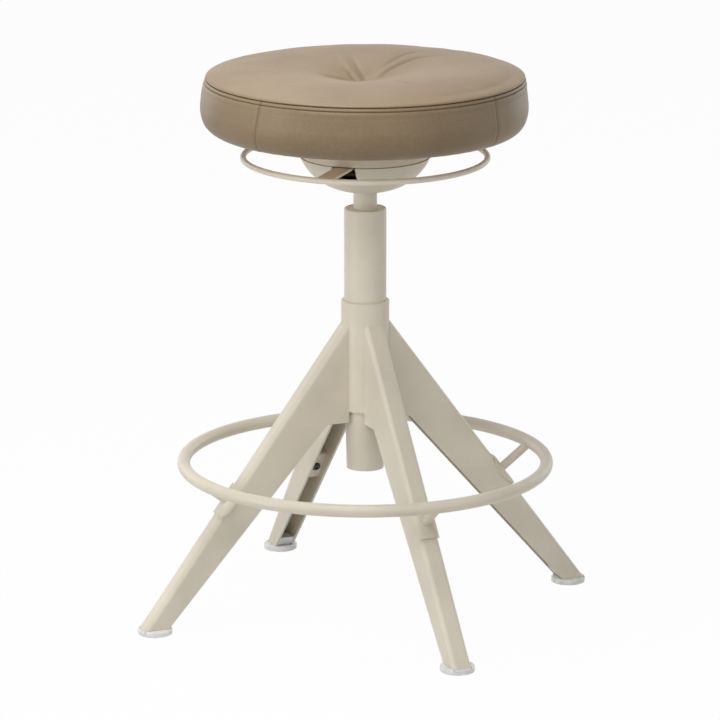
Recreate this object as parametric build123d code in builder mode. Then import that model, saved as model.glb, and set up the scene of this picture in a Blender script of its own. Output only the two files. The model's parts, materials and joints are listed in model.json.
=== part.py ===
from build123d import *
import os
from math import atan, cos, radians, sin, sqrt, tan

os.makedirs("parts", exist_ok=True)

# All sizes are in mm, heights count from the floor, and the Z axis runs up the middle of the stool.

# Fits and gaps
running_gap = 0.05  # radial room of turning and sliding fits
weld_gap = 0.1  # room between welded, pressed or screwed neighbours
loose_gap = 0.3  # room between pieces that only lie side by side

# Gas lift column
column_od = 50.0
column_wall = 2.0
column_bottom = 175.0
column_length = 317.0
column_lip = 1.5
taper_rate = 0.0251  # radius lost for each mm of a self-holding taper
taper_length = 115.0
end_plate_recess = 5.0
end_plate_t = 4.0
end_plate_bevel = 0.8
bush_length = 80.0
bush_recess = 0.5

# Thrust bearing at the foot of the piston rod
race_r = 16.0
race_t = 2.5
ball_d = 5.0
ball_count = 10
ball_pitch_r = 10.0
ball_groove = 0.5
cage_t = 2.0
cage_rim = 4.0  # cage material on each side of the ball circle
bump_od = 28.0
bump_h = 15.0
bump_edge_r = 2.5

# Piston rod, cylinder and valve
rod_d = 10.0
rod_stub_d = 8.0
rod_end_room = 0.5
rod_clip_t = 1.0
rod_clip_od = 13.0
rod_clip_bite = 1.0
cylinder_od = 28.0
cylinder_wall = 1.5
crimp = 1.5  # rolled-in ends of the cylinder
rod_guide_h = 18.5
piston_h = 12.0
lift_stroke = 200.0
valve_length = 28.0
valve_mouth_d = 17.0
valve_bore_depth = 18.0
valve_pin_d = 6.0
valve_pin_dome_r = 5.0
valve_pin_show = 6.6  # pin length that stands out of the cylinder

# Hub sleeve and legs
hub_wall = 3.5
hub_bottom = 248.0
hub_length = 133.0
hub_bevel = 1.0
leg_count = 4
leg_names = ("right", "back", "left", "front")
leg_top = 354.0  # where the outer face meets the hub
leg_foot_r = 291.7  # outer face carried down to the floor
leg_toe = 28.8  # depth of the side walls, measured on the floor
leg_throat_r = 53.6
leg_throat = 235.0  # level cut of the side walls under the hub
leg_width = 24.0
leg_sheet = 2.5
leg_bend_r = 5.5

# Feet
foot_d = 41.0
foot_h = 6.5
foot_sole = 4.5  # pad left under the leg's end
foot_edge_r = 1.4
foot_tongue_h = 15.0
foot_shift = -3.2  # pad centre from the middle of the leg's end
foot_shelf = 1.5  # tongue stays this far inside the channel

# Foot ring and what carries it
foot_ring_r = 216.8
foot_ring_z = 182.0
foot_ring_d = 15.0
foot_ring_wall = 1.8
strut_d = 10.5
saddle_length = 42.0
saddle_drop = 6.0  # how far the round flanges reach down the leg's sides
saddle_t = 2.5
stay_depth = 26.0  # from the leg's outer face to the stay plate
stay_t = 2.5
stay_length = 44.0
ring_screw_d = 6.0
ring_screw_grip = 14.0  # thread inside the strut
screw_head_d = 11.0
screw_head_h = 4.0
screw_key = 4.0  # across the flats
screw_key_depth = 2.2

# Housing under the seat
rod_show = 22.0  # cylinder between column and housing at the lowest height
bowl_r = 77.0
bowl_depth = 40.6
bowl_neck_d = 32.0
housing_wall = 2.5
housing_groove = 1.2
housing_ring_h = 30.7
housing_edge_r = 0.8
flange_t = 2.5
flange_hole_d = 90.0
spigot_h = 6.0
spigot_t = 2.0

# Ring lever
lever_azimuth = 226.8
lever_drop = 1.4  # arm's middle below the bowl's rim
lever_width = 20.0
lever_t = 3.0
lever_ring_r = 143.8
lever_wire_d = 7.0
lever_pivot_offset = 35.0
lever_throw = 5.5  # degrees
lever_eye_d = 12.0
window_side = 4.5
window_foot = 1.5

# Mechanism
pivot_pin_d = 6.0
pivot_clip_t = 0.8
pivot_clip_od = 11.0
pivot_clip_bite = 0.5
pivot_pin_end = 2.0
channel_gap = 40.0
channel_sheet = 3.0
channel_bend_r = 5.0
channel_front = 24.0
channel_back = 48.0
channel_lift = 20.0  # channel floor over the bowl's bottom
socket_od = 36.0
socket_lift = 6.0  # socket over the bowl's bottom
seat_plate_side = 100.0
seat_plate_t = 3.0
seat_plate_corner = 12.0
bolt_spacing = 76.0
bolt_d = 6.0
bolt_room = 0.3  # radial, in plain holes
nut_flange_d = 18.0
nut_flange_t = 1.5
nut_barrel_d = 8.0
nut_barrel_h = 8.5

# Cushion, heights over the underside of the seat board
board_r = 170.0
board_t = 12.0
board_edge_r = 2.0
leather = 1.4
tuft_h = 53.5
tuft_r = 2.0  # small flat where the tie holds the cover
crown_inside = 65.0  # radii inside or past the board's edge
crown_h = 78.0
shoulder_inside = 10.0
shoulder_h = 73.5
seam_past = 17.5
seam_h = 63.0
belly_past = 22.5
belly_h = 28.5
lower_past = 20.2
lower_h = 10.5
sole_past = 8.0
hem_width = 20.0  # leather folded under the board
seam_slit = 0.4
side_panel_count = 4
side_seam_azimuth = 207.6
tie_d = 2.5
anchor_d = 16.0
staple_count = 16
staple_crown = 10.0
staple_wire = 1.0
staple_leg = 8.0
staple_inset = 10.0  # from the hem's edge

# Heights worked out from the sizes above
column_top = column_bottom + column_length
taper_start = column_bottom + taper_length
hub_top = hub_bottom + hub_length
end_plate_z = column_bottom + end_plate_recess
lower_race_z = end_plate_z + end_plate_t
race_space = ball_d + 2 * running_gap - 2 * ball_groove
upper_race_z = lower_race_z + race_t + race_space
ball_z = lower_race_z + race_t + race_space / 2
rod_shoulder = upper_race_z + race_t
cylinder_bottom = rod_shoulder + bump_h + loose_gap
rod_guide_z = cylinder_bottom + crimp
piston_z = rod_guide_z + rod_guide_h + lift_stroke + loose_gap
bowl_bottom = column_top + rod_show
bowl_rim = bowl_bottom + bowl_depth
housing_ring_z = bowl_rim + housing_groove
board_bottom = housing_ring_z + housing_ring_h
board_top = board_bottom + board_t
seat_plate_z = board_bottom - flange_t - seat_plate_t
lever_z = bowl_rim - lever_drop
lever_under = lever_z - lever_t / 2
cylinder_top = lever_under - weld_gap - valve_pin_show
socket_z = bowl_bottom + socket_lift
channel_z = bowl_bottom + channel_lift
cover_bottom = board_bottom - leather - weld_gap

# Radii and lengths worked out from the sizes above
column_r = column_od / 2
hub_r = column_r + hub_wall
rod_r = rod_d / 2
stub_r = rod_stub_d / 2
cylinder_r = cylinder_od / 2
cylinder_bore = cylinder_r - cylinder_wall
valve_top = cylinder_top - crimp
valve_pin_r = valve_pin_d / 2
lever_slope = tan(radians(lever_throw))
valve_travel = lever_pivot_offset * lever_slope
pivot_pin_r = pivot_pin_d / 2
crown_r = board_r - crown_inside
shoulder_r = board_r - shoulder_inside
seam_r = board_r + seam_past
belly_r = board_r + belly_past
lower_r = board_r + lower_past
sole_r = board_r + sole_past
hem_r = board_r - hem_width
leg_spread = (leg_foot_r - hub_r) / leg_top
leg_lean = atan(leg_spread)
leg_angles = [360 / leg_count * turn for turn in range(leg_count)]


def column_radius(z):
    # Outer radius of the column: straight above, a slow taper below.
    return column_r - taper_rate * max(0, taper_start - z)


def leg_outer(z):
    return hub_r + (leg_top - z) * leg_spread


def leg_inner(z):
    return leg_throat_r + (leg_throat - z) * (leg_foot_r - leg_toe - leg_throat_r) / leg_throat


def upright(azimuth):
    # Plane through the stool's axis: x runs outwards at this azimuth, y runs up.
    angle = radians(azimuth)
    return Plane((0, 0, 0), x_dir=(cos(angle), sin(angle), 0), z_dir=(sin(angle), -cos(angle), 0))


def lever_level(z):
    # Level plane whose x runs from the stool's axis along the lever's arm.
    angle = radians(lever_azimuth)
    return Plane((0, 0, z), x_dir=(cos(angle), sin(angle), 0), z_dir=(0, 0, 1))


# Column tube, with its tapered lower end and rounded top edge
column_foot_r = column_radius(column_bottom)
with BuildPart() as column_tube:
    with BuildSketch(Plane.XZ):
        with BuildLine():
            Polyline(
                (column_foot_r - column_wall, column_bottom),
                (column_foot_r, column_bottom),
                (column_r, taper_start),
                (column_r, column_top),
                (column_r - column_wall, column_top),
                (column_r - column_wall, taper_start),
                close=True,
            )
        make_face()
    revolve(axis=Axis.Z)
    fillet(column_tube.edges().group_by(Axis.Z)[-1].sort_by(SortBy.RADIUS)[-1], column_lip)
column_tube.part.label = "column_tube"
export_step(column_tube.part, "parts/column_tube.step")

# End plate pressed into the column's foot
end_plate_r = column_radius(end_plate_z) - column_wall - weld_gap
with BuildPart(Plane.XY.offset(end_plate_z)) as column_end_plate:
    Cylinder(end_plate_r, end_plate_t, align=(Align.CENTER, Align.CENTER, Align.MIN))
    Hole(stub_r + loose_gap)
    rims = column_end_plate.edges().filter_by(GeomType.CIRCLE).sort_by(SortBy.RADIUS)[-2:]
    chamfer(rims, end_plate_bevel)
column_end_plate.part.label = "column_end_plate"
export_step(column_end_plate.part, "parts/column_end_plate.step")

# Plastic guide bush in the column's mouth
with BuildPart(Plane.XY.offset(column_top - bush_recess)) as guide_bush:
    Cylinder(column_r - column_wall - weld_gap, bush_length, align=(Align.CENTER, Align.CENTER, Align.MAX))
    Hole(cylinder_r + running_gap)
guide_bush.part.label = "guide_bush"
export_step(guide_bush.part, "parts/guide_bush.step")

# Hub sleeve, bored to the column's taper
with BuildPart() as hub_sleeve:
    with BuildSketch(Plane.XZ):
        with BuildLine():
            Polyline(
                (column_radius(hub_bottom) + weld_gap, hub_bottom),
                (hub_r, hub_bottom),
                (hub_r, hub_top),
                (column_r + weld_gap, hub_top),
                (column_r + weld_gap, taper_start),
                close=True,
            )
        make_face()
    revolve(axis=Axis.Z)
    chamfer(hub_sleeve.edges().group_by(Axis.Z)[-1].sort_by(SortBy.RADIUS)[-1], hub_bevel)
hub_sleeve.part.label = "hub_sleeve"
export_step(hub_sleeve.part, "parts/hub_sleeve.step")

# Lower race of the thrust bearing
with BuildPart(Plane.XY.offset(lower_race_z)) as bearing_lower_race:
    Cylinder(race_r, race_t, align=(Align.CENTER, Align.CENTER, Align.MIN))
    Hole(stub_r + loose_gap)
    with Locations((0, 0, ball_z - lower_race_z)):
        Torus(ball_pitch_r, ball_d / 2 + running_gap, mode=Mode.SUBTRACT)
bearing_lower_race.part.label = "bearing_lower_race"
export_step(bearing_lower_race.part, "parts/bearing_lower_race.step")

# Upper race, which turns with the rod
with BuildPart(Plane.XY.offset(upper_race_z)) as bearing_upper_race:
    Cylinder(race_r, race_t, align=(Align.CENTER, Align.CENTER, Align.MIN))
    Hole(stub_r + weld_gap)
    with Locations((0, 0, ball_z - upper_race_z)):
        Torus(ball_pitch_r, ball_d / 2 + running_gap, mode=Mode.SUBTRACT)
bearing_upper_race.part.label = "bearing_upper_race"
export_step(bearing_upper_race.part, "parts/bearing_upper_race.step")

# Balls and the cage that spaces them
with BuildPart(Plane.XY.offset(ball_z)) as bearing_balls:
    with PolarLocations(ball_pitch_r, ball_count):
        Sphere(ball_d / 2)
bearing_balls.part.label = "bearing_balls"
export_step(bearing_balls.part, "parts/bearing_balls.step")

with BuildPart(Plane.XY.offset(ball_z)) as bearing_cage:
    Cylinder(ball_pitch_r + cage_rim, cage_t)
    Cylinder(ball_pitch_r - cage_rim, cage_t, mode=Mode.SUBTRACT)
    with PolarLocations(ball_pitch_r, ball_count):
        Cylinder(ball_d / 2 + weld_gap, cage_t, mode=Mode.SUBTRACT)
bearing_cage.part.label = "bearing_cage"
export_step(bearing_cage.part, "parts/bearing_cage.step")

# Piston rod: a stub through the bearing and the end plate, and one through the piston
rod_end = column_bottom + rod_end_room
rod_clip_z = end_plate_z - loose_gap - rod_clip_t
with BuildPart() as piston_rod:
    with BuildSketch(Plane.XZ):
        with BuildLine():
            Polyline(
                (0, rod_end),
                (stub_r, rod_end),
                (stub_r, rod_shoulder),
                (rod_r, rod_shoulder),
                (rod_r, piston_z),
                (stub_r, piston_z),
                (stub_r, piston_z + piston_h),
                (0, piston_z + piston_h),
                close=True,
            )
        make_face()
    revolve(axis=Axis.Z)
    with Locations((0, 0, rod_clip_z - weld_gap)):
        Cylinder(
            stub_r,
            rod_clip_t + 2 * weld_gap,
            align=(Align.CENTER, Align.CENTER, Align.MIN),
            mode=Mode.SUBTRACT,
        )
        Cylinder(
            stub_r - rod_clip_bite,
            rod_clip_t + 2 * weld_gap,
            align=(Align.CENTER, Align.CENTER, Align.MIN),
        )
piston_rod.part.label = "piston_rod"
export_step(piston_rod.part, "parts/piston_rod.step")

# Open clip in the rod's groove, under the end plate
with BuildPart(Plane.XY.offset(rod_clip_z)) as rod_clip:
    Cylinder(rod_clip_od / 2, rod_clip_t, align=(Align.CENTER, Align.CENTER, Align.MIN))
    Hole(stub_r - rod_clip_bite + weld_gap)
    clip_mouth = 2 * (stub_r - rod_clip_bite) - loose_gap
    Box(
        rod_clip_od,
        clip_mouth,
        rod_clip_t,
        align=(Align.MIN, Align.CENTER, Align.MIN),
        mode=Mode.SUBTRACT,
    )
rod_clip.part.label = "rod_clip"
export_step(rod_clip.part, "parts/rod_clip.step")

# Rubber bump stop on the rod's shoulder
with BuildPart(Plane.XY.offset(rod_shoulder)) as bump_stop:
    Cylinder(bump_od / 2, bump_h, align=(Align.CENTER, Align.CENTER, Align.MIN))
    Hole(rod_r + weld_gap)
    fillet(bump_stop.edges().filter_by(GeomType.CIRCLE).sort_by(SortBy.RADIUS)[-2:], bump_edge_r)
bump_stop.part.label = "bump_stop"
export_step(bump_stop.part, "parts/bump_stop.step")

# Piston at the rod's upper end
with BuildPart(Plane.XY.offset(piston_z)) as piston:
    Cylinder(cylinder_bore - running_gap, piston_h, align=(Align.CENTER, Align.CENTER, Align.MIN))
    Hole(stub_r + weld_gap)
piston.part.label = "piston"
export_step(piston.part, "parts/piston.step")

# Gas cylinder: crimped at both ends, tapered where the socket holds it
cylinder_tip_r = cylinder_r - taper_rate * (cylinder_top - socket_z)
with BuildPart() as gas_cylinder:
    with BuildSketch(Plane.XZ):
        with BuildLine():
            Polyline(
                (rod_r + loose_gap, cylinder_bottom),
                (cylinder_r, cylinder_bottom),
                (cylinder_r, socket_z),
                (cylinder_tip_r, cylinder_top),
                (valve_mouth_d / 2, cylinder_top),
                (valve_mouth_d / 2, valve_top),
                (cylinder_bore - taper_rate * (valve_top - socket_z), valve_top),
                (cylinder_bore, socket_z),
                (cylinder_bore, cylinder_bottom + crimp),
                (rod_r + loose_gap, cylinder_bottom + crimp),
                close=True,
            )
        make_face()
    revolve(axis=Axis.Z)
gas_cylinder.part.label = "gas_cylinder"
export_step(gas_cylinder.part, "parts/gas_cylinder.step")

# Rod guide with the seal, in the cylinder's lower end
with BuildPart(Plane.XY.offset(rod_guide_z)) as rod_guide:
    Cylinder(cylinder_bore - weld_gap, rod_guide_h, align=(Align.CENTER, Align.CENTER, Align.MIN))
    Hole(rod_r + running_gap)
rod_guide.part.label = "rod_guide"
export_step(rod_guide.part, "parts/rod_guide.step")

# Valve body in the cylinder's upper end
valve_r = cylinder_bore - taper_rate * (valve_top - socket_z) - weld_gap
with BuildPart(Plane.XY.offset(valve_top)) as valve_body:
    Cylinder(valve_r, valve_length, align=(Align.CENTER, Align.CENTER, Align.MAX))
    Hole(valve_pin_r + running_gap, depth=valve_bore_depth)
valve_body.part.label = "valve_body"
export_step(valve_body.part, "parts/valve_body.step")

# Valve pin, domed where the lever's arm presses it
valve_pin_top = lever_under - weld_gap
valve_pin_foot = valve_top - valve_bore_depth + valve_travel + loose_gap
dome_edge = valve_pin_top - valve_pin_dome_r + sqrt(valve_pin_dome_r**2 - valve_pin_r**2)
with BuildPart() as valve_pin:
    with BuildSketch(Plane.XZ):
        with BuildLine():
            Polyline(
                (0, valve_pin_top),
                (0, valve_pin_foot),
                (valve_pin_r, valve_pin_foot),
                (valve_pin_r, dome_edge),
            )
            TangentArc((0, valve_pin_top), (valve_pin_r, dome_edge), tangent=(1, 0))
        make_face()
    revolve(axis=Axis.Z)
valve_pin.part.label = "valve_pin"
export_step(valve_pin.part, "parts/valve_pin.step")

# Where the strut of a leg stands: square to the leg's outer face, in line with the ring's tube
strut_length = (foot_ring_r - leg_outer(foot_ring_z)) * cos(leg_lean)
strut_foot_r = foot_ring_r - strut_length * cos(leg_lean)
strut_foot_z = foot_ring_z - strut_length * sin(leg_lean)
strut_foot = (strut_foot_r, 0, strut_foot_z)
down_leg = (sin(leg_lean), 0, -cos(leg_lean))
off_leg = (cos(leg_lean), 0, sin(leg_lean))
leg_face = Plane(strut_foot, x_dir=down_leg, z_dir=off_leg)
leg_section = Plane(strut_foot, x_dir=(0, 1, 0), z_dir=down_leg)
leg_side = Plane(strut_foot, x_dir=down_leg, z_dir=(0, -1, 0))
leg_bottom = foot_sole
leg_core = hub_r / 2
leg_inside = leg_width - 2 * leg_sheet

# Leg: a folded channel, open towards the column, cut to the hub and drilled for the strut
with BuildPart() as leg:
    with BuildSketch(leg_section):
        RectangleRounded(leg_width, leg_top, leg_bend_r, align=(Align.CENTER, Align.MAX))
        with Locations((0, -leg_sheet)):
            RectangleRounded(
                leg_inside,
                leg_top,
                leg_bend_r - leg_sheet,
                align=(Align.CENTER, Align.MAX),
                mode=Mode.SUBTRACT,
            )
    extrude(amount=leg_foot_r + leg_top, both=True)
    with BuildSketch(upright(0)):
        with BuildLine():
            Polyline(
                (leg_outer(leg_bottom), leg_bottom),
                (leg_inner(leg_bottom), leg_bottom),
                (leg_throat_r, leg_throat),
                (leg_core, leg_throat),
                (leg_core, leg_top + (hub_r - leg_core) / leg_spread),
                close=True,
            )
        make_face()
    extrude(amount=leg_width, both=True, mode=Mode.INTERSECT)
    Cylinder(hub_r + weld_gap, 3 * leg_top, mode=Mode.SUBTRACT)
    with BuildSketch(leg_face):
        Circle(strut_d / 2 + weld_gap)
    extrude(amount=2 * leg_sheet, both=True, mode=Mode.SUBTRACT)

# Foot: a round pad with a pocket for the leg's end and a tongue inside the channel
leg_end_middle = (leg_outer(leg_bottom) + leg_inner(leg_bottom)) / 2
foot_r = leg_end_middle + foot_shift
tongue_top = leg_bottom + foot_tongue_h
bend_slant = leg_bend_r / cos(leg_lean)
with BuildPart() as foot:
    with Locations((foot_r, 0, 0)):
        Cylinder(foot_d / 2, foot_h, align=(Align.CENTER, Align.CENTER, Align.MIN))
    fillet(foot.edges().group_by(Axis.Z)[-1], foot_edge_r)
    chamfer(foot.edges().group_by(Axis.Z)[0], foot_edge_r / 2)
    with BuildSketch(upright(0)):
        with BuildLine():
            Polyline(
                (leg_outer(leg_bottom) + weld_gap, leg_bottom),
                (leg_inner(leg_bottom) - weld_gap, leg_bottom),
                (leg_inner(foot_h) - weld_gap, foot_h),
                (leg_outer(foot_h) + weld_gap, foot_h),
                close=True,
            )
        make_face()
    extrude(amount=leg_width / 2 + weld_gap, both=True, mode=Mode.SUBTRACT)
    with BuildSketch(upright(0)):
        with BuildLine():
            Polyline(
                (leg_outer(leg_bottom) - bend_slant - weld_gap, leg_bottom),
                (leg_inner(leg_bottom) + foot_shelf, leg_bottom),
                (leg_inner(tongue_top) + foot_shelf, tongue_top),
                (leg_outer(tongue_top) - bend_slant - weld_gap, tongue_top),
                close=True,
            )
        make_face()
    extrude(amount=leg_inside / 2 - weld_gap, both=True)

# Strut from the stay plate, through web and saddle, to the foot ring's tube
with BuildPart(leg_face) as strut:
    with Locations((0, 0, -stay_depth)):
        Cylinder(strut_d / 2, stay_depth + strut_length, align=(Align.CENTER, Align.CENTER, Align.MIN))
        Cylinder(
            ring_screw_d / 2 + running_gap,
            ring_screw_grip + loose_gap,
            align=(Align.CENTER, Align.CENTER, Align.MIN),
            mode=Mode.SUBTRACT,
        )
    with BuildSketch(Plane.XZ):
        with Locations((foot_ring_r, foot_ring_z)):
            Circle(foot_ring_d / 2 + weld_gap)
    revolve(axis=Axis.Z, mode=Mode.SUBTRACT)

# Saddle plate bent over the leg's outer face, with round flanges on the leg's sides
with BuildPart() as saddle:
    with BuildSketch(leg_side):
        with BuildLine():
            Polyline(
                (saddle_length / 2, 0),
                (saddle_length / 2, saddle_t + weld_gap),
                (-saddle_length / 2, saddle_t + weld_gap),
                (-saddle_length / 2, 0),
            )
            ThreePointArc((-saddle_length / 2, 0), (0, -saddle_drop), (saddle_length / 2, 0))
        make_face()
    extrude(amount=leg_width / 2 + weld_gap + saddle_t, both=True)
    with BuildSketch(leg_section):
        with Locations((0, saddle_t + weld_gap)):
            RectangleRounded(
                leg_width + 2 * weld_gap + 2 * saddle_t,
                leg_top,
                leg_bend_r + saddle_t,
                align=(Align.CENTER, Align.MAX),
            )
        with Locations((0, weld_gap)):
            RectangleRounded(
                leg_width + 2 * weld_gap,
                leg_top,
                leg_bend_r,
                align=(Align.CENTER, Align.MAX),
                mode=Mode.SUBTRACT,
            )
    extrude(amount=saddle_length, both=True, mode=Mode.INTERSECT)
    with BuildSketch(leg_face):
        Circle(strut_d / 2 + weld_gap)
    extrude(amount=saddle_length, both=True, mode=Mode.SUBTRACT)

# Stay plate across the channel, with its upper end bent back to the web
with BuildPart() as stay_plate:
    with BuildSketch(leg_side):
        with BuildLine():
            Polyline(
                (stay_length / 2, -stay_depth),
                (stay_length / 2, -stay_depth - stay_t),
                (-stay_length / 2, -stay_depth - stay_t),
                (-stay_length / 2, -leg_sheet - weld_gap),
                (stay_t - stay_length / 2, -leg_sheet - weld_gap),
                (stay_t - stay_length / 2, -stay_depth),
                close=True,
            )
        make_face()
    extrude(amount=leg_width, both=True)
    with BuildSketch(leg_section):
        with Locations((0, -leg_sheet - weld_gap)):
            RectangleRounded(
                leg_inside - 2 * weld_gap,
                leg_top,
                leg_bend_r - leg_sheet,
                align=(Align.CENTER, Align.MAX),
            )
    extrude(amount=stay_length, both=True, mode=Mode.INTERSECT)
    fillet(stay_plate.edges().filter_by(Axis.Y).sort_by_distance((0, 0, leg_top))[0], stay_t)
    with BuildSketch(leg_face):
        Circle(ring_screw_d / 2 + bolt_room)
    extrude(amount=-stay_length, mode=Mode.SUBTRACT)

# Screw from inside the channel into the strut's end
with BuildPart(leg_face.offset(-stay_depth - stay_t)) as ring_screw:
    Cylinder(screw_head_d / 2, screw_head_h, align=(Align.CENTER, Align.CENTER, Align.MAX))
    fillet(ring_screw.edges().filter_by(GeomType.CIRCLE).sort_by(Axis.X)[0], screw_head_h / 2)
    Cylinder(
        ring_screw_d / 2,
        stay_t + ring_screw_grip,
        align=(Align.CENTER, Align.CENTER, Align.MIN),
    )
    with BuildSketch(leg_face.offset(-stay_depth - stay_t - screw_head_h)):
        RegularPolygon(screw_key / 2, 6, major_radius=False)
    extrude(amount=screw_key_depth, mode=Mode.SUBTRACT)

# The four legs with their feet, struts, saddles and stay plates
for side, angle in zip(leg_names, leg_angles):
    for name, piece in (
        ("leg", leg),
        ("foot", foot),
        ("strut", strut),
        ("saddle", saddle),
        ("stay_plate", stay_plate),
    ):
        placed = piece.part.rotate(Axis.Z, angle)
        placed.label = f"{name}_{side}"
        export_step(placed, f"parts/{name}_{side}.step")

with BuildPart() as ring_screws:
    for angle in leg_angles:
        add(ring_screw.part.rotate(Axis.Z, angle))
ring_screws.part.label = "ring_screws"
export_step(ring_screws.part, "parts/ring_screws.step")

# Foot ring of bent tube
with BuildPart() as foot_ring:
    with BuildSketch(Plane.XZ):
        with Locations((foot_ring_r, foot_ring_z)):
            Circle(foot_ring_d / 2)
            Circle(foot_ring_d / 2 - foot_ring_wall, mode=Mode.SUBTRACT)
    revolve(axis=Axis.Z)
foot_ring.part.label = "foot_ring"
export_step(foot_ring.part, "parts/foot_ring.step")

# Taper socket that sits on the cylinder
with BuildPart() as taper_socket:
    with BuildSketch(Plane.XZ):
        with BuildLine():
            Polyline(
                (cylinder_r + weld_gap, socket_z),
                (socket_od / 2, socket_z),
                (socket_od / 2, cylinder_top),
                (cylinder_tip_r + weld_gap, cylinder_top),
                close=True,
            )
        make_face()
    revolve(axis=Axis.Z)
taper_socket.part.label = "taper_socket"
export_step(taper_socket.part, "parts/taper_socket.step")

# Mechanism channel: folded up on both sides of the lever's arm, welded under the seat plate
channel_wide = channel_gap + 2 * channel_sheet
channel_h = seat_plate_z - channel_z
channel_span = channel_front + channel_back
with BuildPart(lever_level(channel_z)) as mechanism_channel:
    with Locations(((channel_front - channel_back) / 2, 0, 0)):
        Box(channel_span, channel_wide, channel_h, align=(Align.CENTER, Align.CENTER, Align.MIN))
    lower_edges = mechanism_channel.edges().group_by(Axis.Z)[0].sort_by(SortBy.LENGTH)[-2:]
    fillet(lower_edges, channel_bend_r)
    with Locations(((channel_front - channel_back) / 2, 0, channel_sheet)):
        Box(
            channel_span,
            channel_gap,
            channel_h,
            align=(Align.CENTER, Align.CENTER, Align.MIN),
            mode=Mode.SUBTRACT,
        )
    Cylinder(socket_od / 2 + weld_gap, 3 * channel_sheet, mode=Mode.SUBTRACT)
    with Locations(Location((-lever_pivot_offset, 0, lever_z - channel_z), (90, 0, 0))):
        Cylinder(pivot_pin_r + weld_gap, 2 * channel_wide, mode=Mode.SUBTRACT)
mechanism_channel.part.label = "mechanism_channel"
export_step(mechanism_channel.part, "parts/mechanism_channel.step")

# Pivot pin of the lever, grooved for a clip at each end
pivot_clip_y = channel_wide / 2 + loose_gap
pivot_pin_length = 2 * (pivot_clip_y + pivot_clip_t + pivot_pin_end)
pivot_axis = Location((-lever_pivot_offset, 0, 0), (90, 0, 0))
with BuildPart(lever_level(lever_z)) as lever_pivot_pin:
    with Locations(pivot_axis):
        Cylinder(pivot_pin_r, pivot_pin_length)
        for end in (-1, 1):
            with Locations((0, 0, end * (pivot_clip_y + pivot_clip_t / 2))):
                Cylinder(pivot_pin_r, pivot_clip_t + 2 * weld_gap, mode=Mode.SUBTRACT)
                Cylinder(pivot_pin_r - pivot_clip_bite, pivot_clip_t + 2 * weld_gap)
lever_pivot_pin.part.label = "lever_pivot_pin"
export_step(lever_pivot_pin.part, "parts/lever_pivot_pin.step")

with BuildPart(lever_level(lever_z)) as pivot_clips:
    with Locations(pivot_axis):
        for end in (-1, 1):
            with Locations((0, 0, end * (pivot_clip_y + pivot_clip_t / 2))):
                Cylinder(pivot_clip_od / 2, pivot_clip_t)
                Cylinder(pivot_pin_r - pivot_clip_bite + weld_gap, pivot_clip_t, mode=Mode.SUBTRACT)
pivot_clips.part.label = "pivot_clips"
export_step(pivot_clips.part, "parts/pivot_clips.step")

# Lever arm: a flat bar from its eye on the pivot pin to the ring's wire
with BuildPart(lever_level(lever_z)) as lever_arm:
    with Locations((-lever_pivot_offset, 0, 0)):
        Box(
            lever_pivot_offset + lever_ring_r,
            lever_width,
            lever_t,
            align=(Align.MIN, Align.CENTER, Align.CENTER),
        )
    with Locations(pivot_axis):
        Cylinder(lever_eye_d / 2, channel_gap - 2 * loose_gap)
        Cylinder(pivot_pin_r + running_gap, channel_gap, mode=Mode.SUBTRACT)
    with BuildSketch(Plane.XZ):
        with Locations((lever_ring_r, lever_z)):
            Circle(lever_wire_d / 2 + weld_gap)
    revolve(axis=Axis.Z, mode=Mode.SUBTRACT)
lever_arm.part.label = "lever_arm"
export_step(lever_arm.part, "parts/lever_arm.step")

# Ring lever of round wire
with BuildPart() as lever_ring:
    with BuildSketch(Plane.XZ):
        with Locations((lever_ring_r, lever_z)):
            Circle(lever_wire_d / 2)
    revolve(axis=Axis.Z)
lever_ring.part.label = "lever_ring"
export_step(lever_ring.part, "parts/lever_ring.step")

# Housing bowl: one arc from neck to rim, a spigot inside the housing ring and a window for the arm
bowl_neck_r = bowl_neck_d / 2
bowl_arc_r = ((bowl_r - bowl_neck_r) ** 2 + bowl_depth**2) / (2 * bowl_depth)
bowl_inner_r = bowl_neck_r + sqrt((bowl_arc_r - housing_wall) ** 2 - (bowl_arc_r - bowl_depth) ** 2)
spigot_r = bowl_r - housing_wall - weld_gap
window_drop = (bowl_r + lever_pivot_offset) * lever_slope + window_foot
window_z = lever_under - window_drop
with BuildPart() as housing_bowl:
    with BuildSketch(Plane.XZ):
        with BuildLine():
            neck = (bowl_neck_r, bowl_bottom)
            neck_inside = (bowl_neck_r, bowl_bottom + housing_wall)
            TangentArc(neck, (bowl_r, bowl_rim), tangent=(1, 0))
            TangentArc(neck_inside, (bowl_inner_r, bowl_rim), tangent=(1, 0))
            Line(neck, neck_inside)
            Line((bowl_inner_r, bowl_rim), (bowl_r, bowl_rim))
        make_face()
        with Locations((spigot_r, bowl_rim - spigot_t)):
            Rectangle(spigot_t, spigot_t + spigot_h, align=(Align.MAX, Align.MIN))
    revolve(axis=Axis.Z)
    with Locations(lever_level(window_z)):
        Box(
            2 * bowl_r,
            lever_width + 2 * window_side,
            bowl_depth,
            align=(Align.MIN, Align.CENTER, Align.MIN),
            mode=Mode.SUBTRACT,
        )
housing_bowl.part.label = "housing_bowl"
export_step(housing_bowl.part, "parts/housing_bowl.step")

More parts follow.
